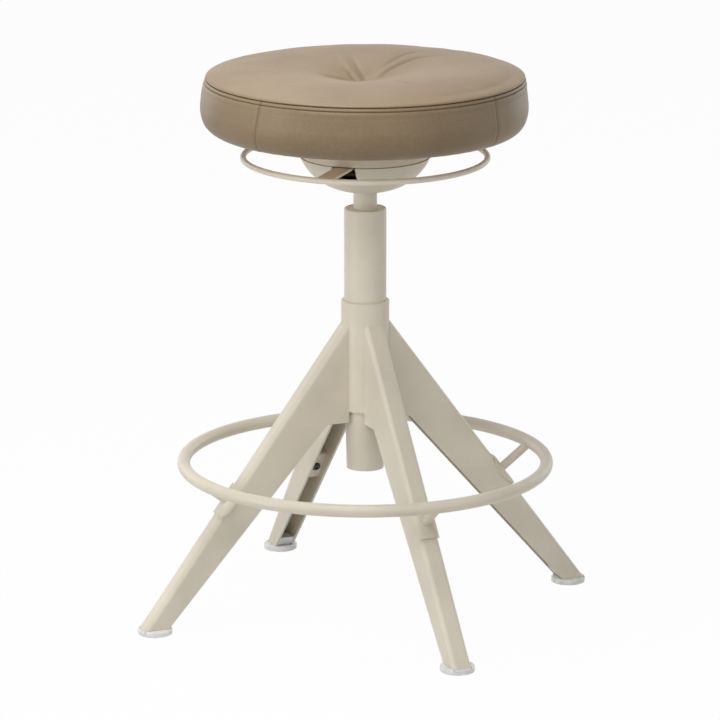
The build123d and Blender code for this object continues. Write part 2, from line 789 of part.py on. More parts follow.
# Housing ring with the flange that is clamped under the seat board
with BuildPart() as housing_ring:
    with BuildSketch(Plane.XZ):
        with Locations((bowl_r, housing_ring_z)):
            Rectangle(housing_wall, housing_ring_h, align=(Align.MAX, Align.MIN))
        with Locations((bowl_r, board_bottom)):
            Rectangle(bowl_r - flange_hole_d / 2, flange_t, align=(Align.MAX, Align.MAX))
    revolve(axis=Axis.Z)
    fillet(housing_ring.edges().group_by(Axis.Z)[0].sort_by(SortBy.RADIUS)[-1], housing_edge_r)
    with Locations(lever_level(board_bottom)):
        with GridLocations(bolt_spacing, bolt_spacing, 2, 2):
            Cylinder(bolt_d / 2 + bolt_room, 3 * flange_t, mode=Mode.SUBTRACT)
housing_ring.part.label = "housing_ring"
export_step(housing_ring.part, "parts/housing_ring.step")

# Seat plate
with BuildPart() as seat_plate:
    with BuildSketch(lever_level(seat_plate_z)):
        RectangleRounded(seat_plate_side, seat_plate_side, seat_plate_corner)
        with GridLocations(bolt_spacing, bolt_spacing, 2, 2):
            Circle(bolt_d / 2 + bolt_room, mode=Mode.SUBTRACT)
    extrude(amount=seat_plate_t)
seat_plate.part.label = "seat_plate"
export_step(seat_plate.part, "parts/seat_plate.step")

# Screws up through seat plate and flange into the board's nuts
bolt_length = board_bottom - seat_plate_z + board_t - nut_flange_t
with BuildPart(lever_level(seat_plate_z)) as seat_screws:
    with GridLocations(bolt_spacing, bolt_spacing, 2, 2):
        Cylinder(screw_head_d / 2, screw_head_h, align=(Align.CENTER, Align.CENTER, Align.MAX))
        Cylinder(bolt_d / 2, bolt_length, align=(Align.CENTER, Align.CENTER, Align.MIN))
    fillet(seat_screws.edges().group_by(Axis.Z)[0], screw_head_h / 2)
    with BuildSketch(lever_level(seat_plate_z - screw_head_h)):
        with GridLocations(bolt_spacing, bolt_spacing, 2, 2):
            RegularPolygon(screw_key / 2, 6, major_radius=False)
    extrude(amount=screw_key_depth, mode=Mode.SUBTRACT)
seat_screws.part.label = "seat_screws"
export_step(seat_screws.part, "parts/seat_screws.step")

# Flanged nuts let into the board from above
with BuildPart(lever_level(board_top)) as board_nuts:
    with GridLocations(bolt_spacing, bolt_spacing, 2, 2):
        Cylinder(nut_flange_d / 2, nut_flange_t, align=(Align.CENTER, Align.CENTER, Align.MAX))
        Cylinder(
            nut_barrel_d / 2,
            nut_flange_t + nut_barrel_h,
            align=(Align.CENTER, Align.CENTER, Align.MAX),
        )
        Cylinder(bolt_d / 2 + running_gap, 2 * board_t, mode=Mode.SUBTRACT)
board_nuts.part.label = "board_nuts"
export_step(board_nuts.part, "parts/board_nuts.step")

# Seat board, drilled for the nuts and for the tuft's tie
with BuildPart() as seat_board:
    with Locations((0, 0, board_bottom)):
        Cylinder(board_r, board_t, align=(Align.CENTER, Align.CENTER, Align.MIN))
    fillet(seat_board.edges().filter_by(GeomType.CIRCLE), board_edge_r)
    Cylinder(tie_d / 2 + loose_gap, 3 * board_top, mode=Mode.SUBTRACT)
    with Locations(lever_level(board_top)):
        with GridLocations(bolt_spacing, bolt_spacing, 2, 2):
            CounterBoreHole(nut_barrel_d / 2 + weld_gap, nut_flange_d / 2 + weld_gap, nut_flange_t)
seat_board.part.label = "seat_board"
export_step(seat_board.part, "parts/seat_board.step")

# Cushion lines, moved inwards through the leather by the inset
tuft_z = board_bottom + tuft_h
crown_z = board_bottom + crown_h
shoulder_z = board_bottom + shoulder_h
seam_z = board_bottom + seam_h
belly_z = board_bottom + belly_h
lower_z = board_bottom + lower_h


def top_line(inset, seam):
    # From the tuft over the crown and the shoulder to the top seam.
    crown = (crown_r, crown_z - inset)
    shoulder = (shoulder_r, shoulder_z - inset)
    tuft = (tuft_r, tuft_z - inset)
    Line((0, tuft_z - inset), tuft)
    TangentArc(crown, tuft, tangent=(-1, 0))
    rise = TangentArc(crown, shoulder, tangent=(1, 0))
    TangentArc(shoulder, seam, tangent=rise % 1)


def side_line(inset, seam, end_r):
    # From the top seam down the bulging side and round under the seat.
    lower = (lower_r - inset, lower_z)
    sole = (sole_r, cover_bottom + inset)
    bulge = ThreePointArc(seam, (belly_r - inset, belly_z), lower)
    TangentArc(lower, sole, tangent=bulge % 1)
    Line(sole, (end_r, cover_bottom + inset))


def seam_point(inset, lift):
    return (seam_r - inset, seam_z + lift - inset)


# Top panel of the leather cover
with BuildPart() as seat_top_panel:
    with BuildSketch(Plane.XZ):
        with BuildLine():
            top_line(0, seam_point(0, seam_slit))
            top_line(leather, seam_point(leather, seam_slit))
            Line((0, tuft_z), (0, tuft_z - leather))
            Line(seam_point(0, seam_slit), seam_point(leather, seam_slit))
        make_face()
    revolve(axis=Axis.Z)
seat_top_panel.part.label = "seat_top_panel"
export_step(seat_top_panel.part, "parts/seat_top_panel.step")

# Side panels, sewn end to end, with their hems under the board
side_panel_turn = 360 / side_panel_count
side_slit_turn = seam_slit / radians(belly_r)
for turn in range(side_panel_count):
    with BuildPart() as side_panel:
        with BuildSketch(upright(side_seam_azimuth + turn * side_panel_turn + side_slit_turn / 2)):
            with BuildLine():
                side_line(0, seam_point(0, 0), hem_r)
                side_line(leather, seam_point(leather, 0), hem_r)
                Line(seam_point(0, 0), seam_point(leather, 0))
                Line((hem_r, cover_bottom), (hem_r, cover_bottom + leather))
            make_face()
        revolve(axis=Axis.Z, revolution_arc=side_panel_turn - side_slit_turn)
    side_panel.part.label = f"seat_side_panel_{turn + 1}"
    export_step(side_panel.part, f"parts/seat_side_panel_{turn + 1}.step")

# Foam pad under the cover, hollowed for the board and the tie
foam_inset = leather + loose_gap
with BuildPart() as seat_foam:
    with BuildSketch(Plane.XZ):
        with BuildLine():
            foam_seam = seam_point(foam_inset, 0)
            top_line(foam_inset, foam_seam)
            side_line(foam_inset, foam_seam, board_r + loose_gap)
            Polyline(
                (board_r + loose_gap, cover_bottom + foam_inset),
                (board_r + loose_gap, board_top + loose_gap),
                (0, board_top + loose_gap),
                (0, tuft_z - foam_inset),
            )
        make_face()
    revolve(axis=Axis.Z)
    Cylinder(tie_d / 2 + loose_gap, 3 * board_top, mode=Mode.SUBTRACT)
seat_foam.part.label = "seat_foam"
export_step(seat_foam.part, "parts/seat_foam.step")

# Tie that pulls the tuft down, and its anchor under the board
anchor_t = flange_t - 2 * weld_gap
anchor_z = seat_plate_z + seat_plate_t + weld_gap
with BuildPart(Plane.XY.offset(anchor_z)) as tuft_anchor:
    Cylinder(anchor_d / 2, anchor_t, align=(Align.CENTER, Align.CENTER, Align.MIN))
    Hole(tie_d / 2 + weld_gap)
tuft_anchor.part.label = "tuft_anchor"
export_step(tuft_anchor.part, "parts/tuft_anchor.step")

tie_length = tuft_z - leather - loose_gap - anchor_z
with BuildPart(Plane.XY.offset(anchor_z)) as tuft_tie:
    Cylinder(tie_d / 2, tie_length, align=(Align.CENTER, Align.CENTER, Align.MIN))
tuft_tie.part.label = "tuft_tie"
export_step(tuft_tie.part, "parts/tuft_tie.step")

# Staples driven through the hem into the board
staple_r = hem_r + staple_inset
with BuildPart(Plane.XY.offset(cover_bottom)) as cover_staples:
    with PolarLocations(staple_r, staple_count, start_angle=360 / staple_count / 2):
        Box(
            staple_wire,
            staple_crown,
            staple_wire,
            align=(Align.CENTER, Align.CENTER, Align.MAX),
        )
        for end in (-1, 1):
            with Locations((0, end * (staple_crown - staple_wire) / 2, -staple_wire)):
                Box(
                    staple_wire,
                    staple_wire,
                    staple_wire + staple_leg,
                    align=(Align.CENTER, Align.CENTER, Align.MIN),
                )
cover_staples.part.label = "cover_staples"
export_step(cover_staples.part, "parts/cover_staples.step")
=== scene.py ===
import json
import math
import bmesh
import bpy
from mathutils import Matrix, Vector, noise


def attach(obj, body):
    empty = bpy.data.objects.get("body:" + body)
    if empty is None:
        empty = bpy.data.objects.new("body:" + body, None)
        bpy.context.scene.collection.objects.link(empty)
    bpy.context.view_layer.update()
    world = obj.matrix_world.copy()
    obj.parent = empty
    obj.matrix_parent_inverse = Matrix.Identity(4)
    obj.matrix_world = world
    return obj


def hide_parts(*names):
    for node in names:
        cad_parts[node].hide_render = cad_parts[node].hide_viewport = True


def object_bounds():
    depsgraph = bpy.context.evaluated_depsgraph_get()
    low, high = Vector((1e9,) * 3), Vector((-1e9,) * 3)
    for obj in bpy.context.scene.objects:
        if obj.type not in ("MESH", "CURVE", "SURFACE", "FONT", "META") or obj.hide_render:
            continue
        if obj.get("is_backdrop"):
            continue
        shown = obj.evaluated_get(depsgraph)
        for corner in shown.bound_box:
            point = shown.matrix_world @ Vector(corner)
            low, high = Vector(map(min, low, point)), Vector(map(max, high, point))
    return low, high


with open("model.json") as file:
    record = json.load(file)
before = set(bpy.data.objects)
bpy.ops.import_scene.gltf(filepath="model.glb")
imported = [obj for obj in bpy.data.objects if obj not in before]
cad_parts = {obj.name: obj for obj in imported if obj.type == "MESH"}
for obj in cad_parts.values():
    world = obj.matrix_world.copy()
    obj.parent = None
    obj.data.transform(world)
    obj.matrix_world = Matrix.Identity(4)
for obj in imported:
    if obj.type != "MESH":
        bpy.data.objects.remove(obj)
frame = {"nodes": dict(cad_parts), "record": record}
cadLow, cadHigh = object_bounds()
scene = bpy.context.scene
scene.view_settings.view_transform = "Standard"
mm = 0.001


class Wire:  # a shader socket that can stand in a sum
    def __init__(self, tree, socket=None):
        self.tree = tree
        self.socket = socket

    def node(self, kind, settings=None, sockets=None, out=0):
        made = self.tree.nodes.new("ShaderNode" + kind)
        for name, value in (settings or {}).items():
            setattr(made, name, value)
        for name, value in (sockets or {}).items():
            if isinstance(value, Wire):
                self.tree.links.new(value.socket, made.inputs[name])
            else:
                made.inputs[name].default_value = value
        return Wire(self.tree, made.outputs[out]) if len(made.outputs) else made

    def math(self, operation, first, second):
        return self.node("Math", {"operation": operation}, {0: first, 1: second})

    def __add__(self, other):
        return self.math("ADD", self, other)

    def __sub__(self, other):
        return self.math("SUBTRACT", self, other)

    def __rsub__(self, other):
        return self.math("SUBTRACT", other, self)

    def __mul__(self, other):
        return self.math("MULTIPLY", self, other)

    __radd__ = __add__
    __rmul__ = __mul__

    def __truediv__(self, other):
        return self.math("DIVIDE", self, other)

    def __rtruediv__(self, other):
        return self.math("DIVIDE", other, self)

    def tint(self, low, high):  # a colour from low to high by this value
        return self.node("Mix", {"data_type": "RGBA"}, {0: self, 6: low, 7: high}, 2)

    def span(self, low, high):  # this value from low..high to 0..1
        return self.node("MapRange", {"interpolation_type": "SMOOTHSTEP"}, {0: self, 1: low, 2: high})


def tone(red, green, blue, gain=1.0):  # a screen colour, 0 to 255, as a shader colour
    linear = []
    for level in (red, green, blue):
        share = level / 255
        linear.append(gain * (share / 12.92 if share < 0.04045 else ((share + 0.055) / 1.055) ** 2.4))
    return (*linear, 1)


def newFinish(name):
    material = bpy.data.materials.new(name)
    material.use_nodes = True
    material.node_tree.nodes.clear()
    return material, Wire(material.node_tree).node("TexCoord", out="Object")


def lay(place, sockets):  # the surface itself, from the sockets of its shader
    place.node("OutputMaterial", None, {"Surface": place.node("BsdfPrincipled", None, sockets)})


def grain(place, scale, detail=2.0, kind=0):
    return place.node("TexNoise", None, {"Vector": place, "Scale": scale, "Detail": detail}, kind)


def dent(place, height, strength, depth):
    return place.node("Bump", None, {"Strength": strength, "Distance": depth, "Height": height})


# Painted and moulded surfaces: clouded colour, fine skin, uneven gloss
def skinFinish(name, look):
    material, place = newFinish(name)
    cloud = grain(place, look["cloud"], 3.0)
    skin = grain(place, look["skin"], 2.0)
    speck = grain(place, look["skin"] * 2.7, 1.0).span(0.62, 0.75)
    shade = cloud.span(0.3, 0.7).tint(tone(*look["tone"], 0.95), tone(*look["tone"], 1.04))
    lay(place, {
        "Base Color": (speck * look["speck"]).tint(shade, tone(*look["tone"], 0.72)),
        "Roughness": look["rough"] + (cloud - 0.5) * look["uneven"] + speck * 0.05,
        "Specular IOR Level": look.get("gloss", 0.5),
        "Normal": dent(place, skin, look["bump"], look["depth"]),
    })
    return material


powderCoat = skinFinish("powderCoat", {
    "tone": (222, 213, 195), "cloud": 14.0, "skin": 620.0, "speck": 0.12, "rough": 0.42, "uneven": 0.1,
    "bump": 0.1, "depth": 0.0002})
housingPlastic = skinFinish("housingPlastic", {
    "tone": (216, 207, 188), "cloud": 22.0, "skin": 1150.0, "speck": 0.1, "rough": 0.5, "uneven": 0.08,
    "bump": 0.2, "depth": 0.0002})
blackCoat = skinFinish("blackCoat", {
    "tone": (38, 37, 36), "cloud": 30.0, "skin": 800.0, "speck": 0.3, "rough": 0.4, "uneven": 0.12,
    "bump": 0.18, "depth": 0.0002})
blackNylon = skinFinish("blackNylon", {
    "tone": (34, 34, 36), "cloud": 40.0, "skin": 1500.0, "speck": 0.2, "rough": 0.5, "uneven": 0.1,
    "bump": 0.15, "depth": 0.0001})
stopRubber = skinFinish("stopRubber", {
    "tone": (40, 39, 38), "cloud": 35.0, "skin": 950.0, "speck": 0.45, "rough": 0.78, "uneven": 0.1,
    "bump": 0.3, "depth": 0.0002, "gloss": 0.3})


# Turned and drawn metal: rings of tool marks round the upright axis
def turnedFinish(name, look):
    material, place = newFinish(name)
    flat = place.node("VectorMath", {"operation": "MULTIPLY"}, {0: place, 1: (0.03, 0.03, 1.0)})
    marks = flat.node("TexNoise", None, {"Vector": flat, "Scale": look["marks"], "Detail": 4.0})
    cloud = grain(place, 45.0, 3.0)
    mottle = (cloud * 0.5 + marks * 0.5).span(0.35, 0.65)
    lay(place, {
        "Base Color": mottle.tint(tone(*look["dark"]), tone(*look["light"])),
        "Metallic": 1.0,
        "Roughness": look["rough"] + (marks - 0.5) * 0.22 + (cloud - 0.5) * 0.1,
        "Normal": dent(place, marks, 0.12, 0.0001),
    })
    return material


drawnSteel = turnedFinish("drawnSteel", {
    "dark": (172, 172, 172), "light": (206, 205, 203), "marks": 2600.0, "rough": 0.32})
turnedAluminium = turnedFinish("turnedAluminium", {
    "dark": (196, 197, 200), "light": (224, 225, 228), "marks": 1900.0, "rough": 0.38})


# Feet of milky plastic that lets some light in
def footFinish():
    look = {"milk": (226, 226, 224), "clear": (242, 242, 240), "rough": 0.34}
    material, place = newFinish("footPlastic")
    cloud = grain(place, 120.0, 3.0)
    skin = grain(place, 900.0, 1.0)
    lay(place, {
        "Base Color": cloud.span(0.3, 0.7).tint(tone(*look["milk"]), tone(*look["clear"])),
        "Roughness": look["rough"] + (cloud - 0.5) * 0.16,
        "Subsurface Weight": 0.5,
        "Subsurface Radius": (1.0, 1.0, 1.0),
        "Subsurface Scale": 0.004,
        "Normal": dent(place, skin, 0.12, 0.0002),
    })
    return material


# Seat board of beech veneers: long grain on the faces, bands on the rim
def plywoodFinish():
    look = {"pale": (214, 181, 139), "warm": (188, 149, 104), "pore": (142, 104, 66), "ply": 1.5 * mm}
    material, place = newFinish("beechPly")
    along = place.node("VectorMath", {"operation": "MULTIPLY"}, {0: place, 1: (1.0, 0.06, 1.0)})
    grainLine = along.node("TexNoise", None, {
        "Vector": along, "Scale": 170.0, "Detail": 5.0, "Distortion": 0.6})
    pore = along.node("TexNoise", None, {"Vector": along, "Scale": 900.0, "Detail": 1.0}).span(0.6, 0.72)
    height = place.node("SeparateXYZ", None, {"Vector": place}, 2)
    band = place.math("PINGPONG", height / look["ply"], 1.0).span(0.35, 0.65)
    face = grainLine.span(0.3, 0.7).tint(tone(*look["pale"]), tone(*look["warm"]))
    layered = (band * 0.35).tint(face, tone(*look["warm"], 0.8))
    lay(place, {
        "Base Color": (pore * 0.55).tint(layered, tone(*look["pore"])),
        "Roughness": 0.58 + (grainLine - 0.5) * 0.2,
        "Normal": dent(place, grainLine - pore * 0.6, 0.2, 0.0003),
    })
    return material


# Twisted tie of the tuft
def tieFinish():
    look = {"light": (208, 199, 180), "dark": (150, 140, 120), "strands": 1900.0}
    material, place = newFinish("twistedTie")
    strand = place.node("TexWave", {"bands_direction": "DIAGONAL"},
                        {"Vector": place, "Scale": look["strands"] / 6, "Distortion": 1.5, "Detail": 2.0}, 1)
    fuzz = grain(place, look["strands"], 2.0)
    lay(place, {
        "Base Color": (strand * 0.7 + fuzz * 0.3).tint(tone(*look["dark"]), tone(*look["light"])),
        "Roughness": 0.75 + (fuzz - 0.5) * 0.2,
        "Normal": dent(place, strand, 0.5, 0.0003),
    })
    return material


# Leather: two sizes of pebble, pores, drifting colour, painted shade in valleys, seams, folds and pleats
def leatherFinish():
    look = {
        # light and dark are the hide's own colours; the third is the colour of painted shade in seams, folds
        # and pleats
        "light": (136, 116, 89), "dark": (123, 104, 77), "creaseShadeTone": (52, 39, 26),
        "pebble": 640.0, "rough": 0.4, "gloss": 0.38}
    material, place = newFinish("seatLeather")
    drift = grain(place, 9.0, 4.0)
    warp = grain(place, 230.0, 2.0, "Color")
    skin = place.node("VectorMath", {"operation": "MULTIPLY_ADD"}, {0: warp, 1: (0.0016,) * 3, 2: place})
    pebble = skin.node("TexVoronoi", {"feature": "DISTANCE_TO_EDGE"},
                       {"Vector": skin, "Scale": look["pebble"]}).span(0.0, 0.22)
    small = skin.node("TexVoronoi", {"feature": "DISTANCE_TO_EDGE"},
                      {"Vector": skin, "Scale": look["pebble"] * 2.3}).span(0.0, 0.2)
    soft = grain(place, 300.0, 3.0)
    # how much painted shade the cushion's sculpt gave each point, in its seams, folds and pleats
    drawn = place.node("Attribute", {"attribute_name": "paintedCreaseShade"}, None, "Fac")
    height = pebble * 0.6 + small * 0.25 + soft * 0.5
    hide = (drift * 0.7 + soft * 0.3).span(0.35, 0.65).tint(tone(*look["dark"]), tone(*look["light"]))
    # painted shade in the valleys between pebbles
    valleyShaded = ((1 - pebble) * 0.16).tint(hide, tone(*look["dark"], 0.6))
    lay(place, {
        # the hide's colour with the painted shade of seams, folds and pleats laid over it
        "Base Color": drawn.tint(valleyShaded, tone(*look["creaseShadeTone"])),
        "Roughness": look["rough"] + (soft - 0.5) * 0.14 + (1 - pebble) * 0.1 + drawn * 0.2,
        "Specular IOR Level": look["gloss"],
        "Normal": dent(place, height, 0.17, 0.00035),
    })
    return material


def threadFinish():
    look = {"light": (124, 106, 81), "dark": (100, 84, 63)}
    material, place = newFinish("seatThread")
    twist = place.node("TexWave", {"bands_direction": "DIAGONAL"},
                       {"Vector": place, "Scale": 420.0, "Distortion": 1.0, "Detail": 1.0}, 1)
    lay(place, {
        "Base Color": twist.tint(tone(*look["dark"]), tone(*look["light"])),
        "Roughness": 0.55 + twist * 0.15,
        "Normal": dent(place, twist, 0.4, 0.0002),
    })
    return material


seatLeather = leatherFinish()
seatThread = threadFinish()
finishes = {
    "beige_paint": powderCoat, "housing_plastic": housingPlastic, "foot_plastic": footFinish(),
    "leather": seatLeather, "plywood": plywoodFinish(), "steel": drawnSteel, "black_paint": blackCoat,
    "aluminium": turnedAluminium, "black_plastic": blackNylon, "rubber": stopRubber, "cord": tieFinish(),
}
print("finishes made:", len(finishes) + 1)


def dress(piece, material):
    piece.data.materials.clear()
    piece.data.materials.append(material)


slotOf = {part["node"]: part["material_slot"] for part in frame["record"]["subparts"]}
for name, node in frame["nodes"].items():
    if slotOf[name] in finishes:
        dress(node, finishes[slotOf[name]])
print("nodes dressed:", len(slotOf))

# Camera, where the photograph was taken from
cameraLook = {
    "distance": 5.571, "height": 1.733, "azimuth": -23.15, "dip": 14.364, "swing": 0.064, "lens": 241.8}
away = math.radians(cameraLook["azimuth"])
lens = bpy.data.cameras.new("camera")
lens.lens = cameraLook["lens"]
lens.sensor_width = 36
camera = bpy.data.objects.new("camera", lens)
camera.location = (
    cameraLook["distance"] * math.sin(away), -cameraLook["distance"] * math.cos(away), cameraLook["height"])
camera.rotation_euler = (
    math.radians(90 - cameraLook["dip"]), 0, math.radians(cameraLook["azimuth"] + cameraLook["swing"]))
scene.collection.objects.link(camera)
scene.camera = camera


def seenPlain(wire):  # 1 for rays from the camera, off gloss and through clear plastic
    straight = wire.node("LightPath", out="Is Camera Ray")
    gloss = wire.node("LightPath", out="Is Glossy Ray")
    through = wire.node("LightPath", out="Is Transmission Ray")
    return wire.math("MAXIMUM", wire.math("MAXIMUM", straight, gloss), through)


# White floor that keeps a soft shadow
floorLook = {"half": 14.0, "white": 0.97, "albedo": (0.86, 0.86, 0.86, 1), "drop": 0.3 * mm}
floorMesh = bmesh.new()
bmesh.ops.create_grid(floorMesh, x_segments=2, y_segments=2, size=floorLook["half"],
                      matrix=Matrix.Translation((0, 0, -floorLook["drop"])))
floorData = bpy.data.meshes.new("floor")
floorMesh.to_mesh(floorData)
floorMesh.free()
floor = bpy.data.objects.new("floor", floorData)
scene.collection.objects.link(floor)
floor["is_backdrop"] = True
paper, paperPlace = newFinish("floorPaper")
tooth = grain(paperPlace, 400.0, 2.0)
matte = paperPlace.node("BsdfDiffuse", None, {
    "Color": floorLook["albedo"], "Normal": dent(paperPlace, tooth, 0.05, 0.0002)})
glow = paperPlace.node("Emission", None, {"Color": (1, 1, 1, 1), "Strength": 1.0})
whiteShare = seenPlain(paperPlace) * floorLook["white"]
paperPlace.node("OutputMaterial", None, {
    "Surface": paperPlace.node("MixShader", None, {0: whiteShare, 1: matte, 2: glow})})
dress(floor, paper)

# Sky: white where it is seen, dimmer as light
skyLook = {"ambient": 0.2}
sky = bpy.data.worlds.new("studio")
sky.use_nodes = True
sky.node_tree.nodes.clear()
air = Wire(sky.node_tree)
dim = air.node("Background", None, {"Color": (1, 1, 1, 1), "Strength": skyLook["ambient"]})
bright = air.node("Background", None, {"Color": (1, 1, 1, 1), "Strength": 1.0})
air.node("OutputWorld", None, {
    "Surface": air.node("MixShader", None, {0: seenPlain(air), 1: dim, 2: bright})})
scene.world = sky

# Lamps, turned from the camera's side and aimed at the stool's middle
lampAim = Vector((0, 0, 0.4))
lampLook = {
    "leftLow": {"turn": -62, "rise": 9, "reach": 3.2, "size": 1.6, "watts": 27.0},
    "frontLow": {"turn": 30, "rise": 15, "reach": 3.2, "size": 1.6, "watts": 6.5},
    "rightLow": {"turn": 75, "rise": 15, "reach": 3.2, "size": 1.6, "watts": 10.0},
    "backRight": {"turn": 138, "rise": 8, "reach": 3.2, "size": 1.6, "watts": 9.0},
    "backLeft": {"turn": -138, "rise": 8, "reach": 3.2, "size": 1.6, "watts": 8.0},
    "backHigh": {"turn": -165, "rise": 48, "reach": 3.0, "size": 0.9, "watts": 7.0},
    "nearTop": {"turn": -58, "rise": 77, "reach": 1.05, "size": 0.65, "watts": 6.4},
    "nearFront": {"turn": -20, "rise": 40, "reach": 1.4, "size": 0.9, "watts": 6.3},
}
for name, lamp in lampLook.items():
    light = bpy.data.lights.new(name, "AREA")
    light.shape = "DISK"
    light.size = lamp["size"]
    light.energy = lamp["watts"]
    holder = bpy.data.objects.new(name, light)
    turn = math.radians(cameraLook["azimuth"] + lamp["turn"])
    rise = math.radians(lamp["rise"])
    toward = Vector((math.sin(turn) * math.cos(rise), -math.cos(turn) * math.cos(rise), math.sin(rise)))
    holder.location = lampAim + toward * lamp["reach"]
    holder.rotation_euler = toward.to_track_quat("Z", "Y").to_euler()
    holder.visible_camera = False
    scene.collection.objects.link(holder)
print("camera, floor and lamps set")

# Cushion: radius and height in mm, from the tuft over the crown, down the band and under to the hem
cushionLook = {
    "line": [
        (0, 640.3), (5, 641.5), (12, 643.8), (22, 647.2), (34, 651.2), (46, 654.4), (60, 657.3), (75, 659.3),
        (92, 660.7), (110, 661.2), (130, 660.8), (148, 659.3), (164, 657.3), (176, 654.8), (183.5, 652.4),
        (186.8, 650.8), (187.6, 649.7), (187.2, 649.0), (185.9, 648.5), (187.4, 648.0), (188.4, 646.6),
        (188.6, 644.9), (187.5, 644.1), (188.8, 643.3), (189.6, 636.0), (191.0, 625.0), (191.9, 613.0),
        (190.5, 603.0), (187.0, 594.6), (181.6, 588.7), (174.0, 585.4), (164.0, 585.0), (150.0, 585.0)],
    "pocket": [  # the inner side, round the board and up to the tuft
        (149.6, 585.7), (150.2, 586.3), (170.3, 586.3), (170.5, 598.7), (3.0, 598.8), (3.0, 634.0),
        (0, 634.6)],
    "step": 2.6 * mm,
    "columns": 288,
    "crowd": 0.7,  # how far the columns draw to the upright seams
    "swell": {
        "cloth": {
            "quality": 5, "mass": 0.3, "tension_stiffness": 12, "compression_stiffness": 12,
            "bending_stiffness": 2, "use_pressure": True, "uniform_pressure_force": 4.0,
            "vertex_group_mass": "sewn"},
        "steps": 20,
        "most": 3.0 * mm,
        "tuftHeld": 4,  # radius
        "hemHeld": 587,  # height
        "threadHeld": (642, 652),  # heights of the two rows of thread
        "calm": 24,  # times that the crown is smoothed
        "calmAbove": 652 * mm},
    "seams": [(207.5, -2.2), (299.0, 0.8), (27.6, -1.0), (117.6, 1.0)],  # azimuth, and its lean down the band
    "leanOver": 62,
    "seamDeep": 0.8,
    "seamWide": 1.3,
    "seamPuff": (0.35, 5, 4),  # height, distance from the seam and width of the swell beside it
    "seamDark": (0.3, 0.28),  # painted shade in the upright seams: at the foot, and how much more at the top
    "seamOuter": 184.5,
    "seamShade": [(648.15, 648.95, 0.72), (643.8, 644.5, 0.55)],  # painted shade along the top seam and under the topstitch: from, to, how dark
    "bandHeights": (585, 648),
    "bandEase": (12, 14),
    "bandInner": 171,
    "bandLoose": 0.45,
    "bandTaut": 0.1,
    "fullSide": 156.8,  # azimuth where the band stands out most
    "fuller": 1.1,
    "pleats": 52,
    "pleatDrop": 0.8,
    "pleatEase": (5, 9),
    # painted shade between the hem's pleats, at most
    "pleatShade": 0.3,
    "hemRadii": (150, 178),
    "topFloor": 636,
    "topRim": 184,
    "topEase": (40, 14),  # from the tuft and from the rim
    "topLoose": 0.5,
    "foldReach": 2.6,  # in widths of the fold
    # painted shade in the top's narrow folds, at most
    "foldShade": 0.28,
    "creaseWide": 6,  # folds narrower than this get painted shade in them
    "folds": [  # radius and azimuth along each fold of the top, its depth and its width
        {"path": [(40, 196), (50, 215), (58, 240), (52, 262), (40, 285)], "deep": -3.3, "wide": 24.0},
        {"path": [(14, 180), (30, 177), (48, 178), (62, 181)], "deep": -3.2, "wide": 6.4},
        {"path": [(8, 112), (17, 104), (34, 98.5), (57, 92), (82, 87)], "deep": 1.6, "wide": 4.4},
        {"path": [(10, 140), (17, 126), (29, 108), (39, 102), (54, 95)], "deep": -1.6, "wide": 3.2},
        {"path": [(10, 70), (23, 77), (36, 80.5), (55, 81), (75, 80), (97, 78.5)], "deep": -1.6, "wide": 3.8},
        {"path": [(14, 350), (23, 9), (34, 18), (49, 20), (68, 21), (84, 20), (101, 16), (120, 10), (140, 5)],
         "deep": -1.2, "wide": 3.5},
        {"path": [(24, 22), (36, 27), (52, 28), (70, 28), (90, 26), (108, 22)], "deep": 0.6, "wide": 5.0},
        {"path": [(43, 36), (64, 37), (90, 36), (106, 33), (122, 28), (138, 23)], "deep": -0.8, "wide": 3.8},
        {"path": [(165, 330), (168, 348), (168, 6), (165, 24), (158, 40)], "deep": 1.5, "wide": 18.0},
        {"path": [(172, 118), (174, 138), (174, 160), (170, 188)], "deep": 0.9, "wide": 14.0},
        {"path": [(20, 330), (40, 2), (62, 8), (84, 6)], "deep": 0.7, "wide": 8.0},
        {"path": [(85, 269), (103, 270), (122, 273), (147, 277)], "deep": -0.8, "wide": 4.0},
        {"path": [(173, 2), (175, 345), (175.5, 328), (175.5, 311), (175, 295), (174, 280), (172, 268)],
         "deep": -1.3, "wide": 6.2}],
}


def seatLine(look):  # the section's smooth line, as edges in the XZ plane
    curve = bpy.data.curves.new("seatLine", "CURVE")
    curve.dimensions = "3D"
    curve.resolution_u = 3
    spline = curve.splines.new("BEZIER")
    spline.bezier_points.add(len(look["line"]) - 1)
    for point, (radius, height) in zip(spline.bezier_points, look["line"]):
        point.co = (radius * mm, 0, height * mm)
        point.handle_left_type = "AUTO"
        point.handle_right_type = "AUTO"
    holder = bpy.data.objects.new("seatLine", curve)
    scene.collection.objects.link(holder)
    bpy.context.view_layer.update()
    drawn = bpy.data.meshes.new_from_object(holder)
    section = bmesh.new()
    section.from_mesh(drawn)
    bpy.data.objects.remove(holder)
    bpy.data.meshes.remove(drawn)
    for edge in list(section.edges):
        cuts = int(edge.calc_length() / look["step"])
        if cuts:
            bmesh.ops.subdivide_edges(section, edges=[edge], cuts=cuts)
    ends = [vert for vert in section.verts if len(vert.link_edges) == 1]
    last = min(ends, key=lambda vert: vert.co.z)
    for radius, height in look["pocket"]:
        corner = section.verts.new((radius * mm, 0, height * mm))
        section.edges.new((last, corner))
        last = corner
    return section


def newPiece(name, mesh, material):
    data = bpy.data.meshes.new(name)
    mesh.to_mesh(data)
    mesh.free()
    piece = bpy.data.objects.new(name, data)
    scene.collection.objects.link(piece)
    dress(piece, material)
    return piece


def seamOff(azimuth, down, look):  # signed turn from the nearest upright seam, in degrees
    turns = [(azimuth - at - lean * down + 180) % 360 - 180 for at, lean in look["seams"]]
    return min(turns, key=abs)


